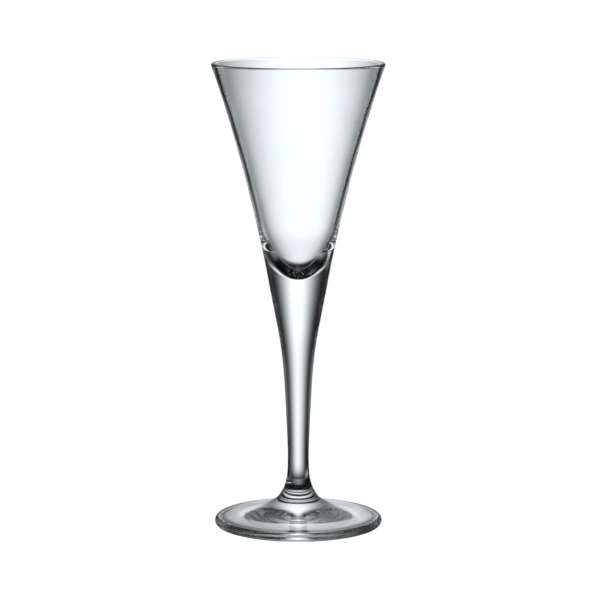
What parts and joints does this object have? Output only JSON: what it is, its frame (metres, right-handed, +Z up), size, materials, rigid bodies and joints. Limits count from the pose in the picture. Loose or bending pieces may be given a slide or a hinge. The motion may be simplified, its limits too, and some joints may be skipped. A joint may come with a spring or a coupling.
{
  "type": "schnapps glass",
  "caption": "Tall stemmed glass for a measure of spirits: a deep narrow bowl on a solid stem and a round foot.",
  "frame": {"origin": "on the table plane under the glass, on its upright axis", "axes": "+Z up along the glass's axis from the foot to the rim; the glass is turned about +Z, so +X and +Y are alike"},
  "size_m": [0.0536, 0.0536, 0.145],
  "materials": {
    "clear_glass": "clear, smooth, fire polished"
  },
  "bodies": {
    "root": {"schnapps_glass": "clear_glass"}
  },
  "joints": []
}
